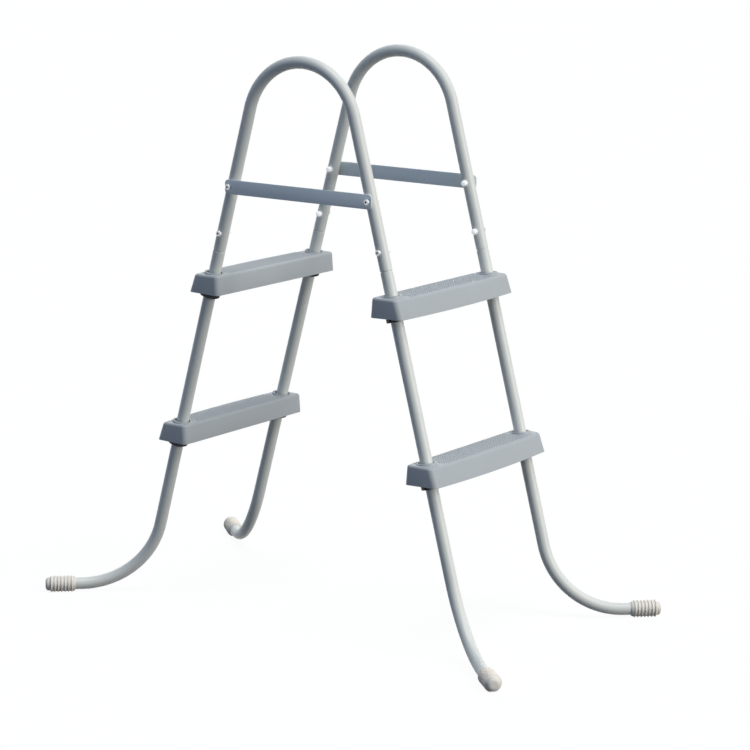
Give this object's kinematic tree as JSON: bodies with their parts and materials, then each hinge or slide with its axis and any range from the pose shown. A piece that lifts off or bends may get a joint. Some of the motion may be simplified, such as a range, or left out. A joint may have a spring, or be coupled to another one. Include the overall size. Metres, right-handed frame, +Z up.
{
  "type": "pool ladder",
  "caption": "A-frame ladder of bent steel tube that straddles an above-ground pool wall, with arched handrails, moulded steps, flat brace bars, bolted joints and ribbed foot caps.",
  "frame": {"origin": "on the ground under the middle of the ladder", "axes": "+Z up, +X towards the right rail of a climber outside the pool, +Y from the outside of the pool towards the water"},
  "size_m": [0.6442, 1.1428, 1.1525],
  "materials": {
    "tube_paint": "light warm grey powder coat, soft gloss",
    "step_plastic": "light blue-grey moulded plastic with a fine nub texture",
    "brace_paint": "light grey satin paint",
    "bolt_zinc": "white zinc plate",
    "nut_plastic": "white moulded plastic",
    "bush_plastic": "dark grey moulded plastic",
    "cap_plastic": "cream soft plastic"
  },
  "bodies": {
    "frame": {"brace_bar_left": "brace_paint", "brace_bar_right": "brace_paint", "brace_bolt_inner_left": "bolt_zinc", "brace_bolt_inner_right": "bolt_zinc", "brace_bolt_outer_left": "bolt_zinc", "brace_bolt_outer_right": "bolt_zinc", "brace_cap_nut_inner_left": "nut_plastic", "brace_cap_nut_inner_right": "nut_plastic", "brace_cap_nut_outer_left": "nut_plastic", "brace_cap_nut_outer_right": "nut_plastic", "handrail_left": "tube_paint", "handrail_right": "tube_paint", "joint_bolt_inner_left": "bolt_zinc", "joint_bolt_inner_right": "bolt_zinc", "joint_bolt_outer_left": "bolt_zinc", "joint_bolt_outer_right": "bolt_zinc", "joint_cap_nut_inner_left": "nut_plastic", "joint_cap_nut_inner_right": "nut_plastic", "joint_cap_nut_outer_left": "nut_plastic", "joint_cap_nut_outer_right": "nut_plastic", "leg_inner_left": "tube_paint", "leg_inner_right": "tube_paint", "leg_outer_left": "tube_paint", "leg_outer_right": "tube_paint", "lower_step_bush_inner_left": "bush_plastic", "lower_step_bush_inner_right": "bush_plastic", "lower_step_bush_outer_left": "bush_plastic", "lower_step_bush_outer_right": "bush_plastic", "lower_step_inner": "step_plastic", "lower_step_outer": "step_plastic", "upper_step_bush_inner_left": "bush_plastic", "upper_step_bush_inner_right": "bush_plastic", "upper_step_bush_outer_left": "bush_plastic", "upper_step_bush_outer_right": "bush_plastic", "upper_step_inner": "step_plastic", "upper_step_outer": "step_plastic"},
    "outer_left_cap": {"foot_cap_outer_left": "cap_plastic"},
    "outer_right_cap": {"foot_cap_outer_right": "cap_plastic"},
    "inner_left_cap": {"foot_cap_inner_left": "cap_plastic"},
    "inner_right_cap": {"foot_cap_inner_right": "cap_plastic"}
  },
  "joints": [
    {"name": "outer_left_cap_pull", "type": "slide", "parent": "frame", "child": "outer_left_cap", "axis": [-0.6691, -0.7431, 0], "range_m": [0, 0.048]},
    {"name": "outer_right_cap_pull", "type": "slide", "parent": "frame", "child": "outer_right_cap", "axis": [0.6691, -0.7431, 0], "range_m": [0, 0.048]},
    {"name": "inner_left_cap_pull", "type": "slide", "parent": "frame", "child": "inner_left_cap", "axis": [-0.6691, 0.7431, 0], "range_m": [0, 0.048]},
    {"name": "inner_right_cap_pull", "type": "slide", "parent": "frame", "child": "inner_right_cap", "axis": [0.6691, 0.7431, 0], "range_m": [0, 0.048]}
  ]
}
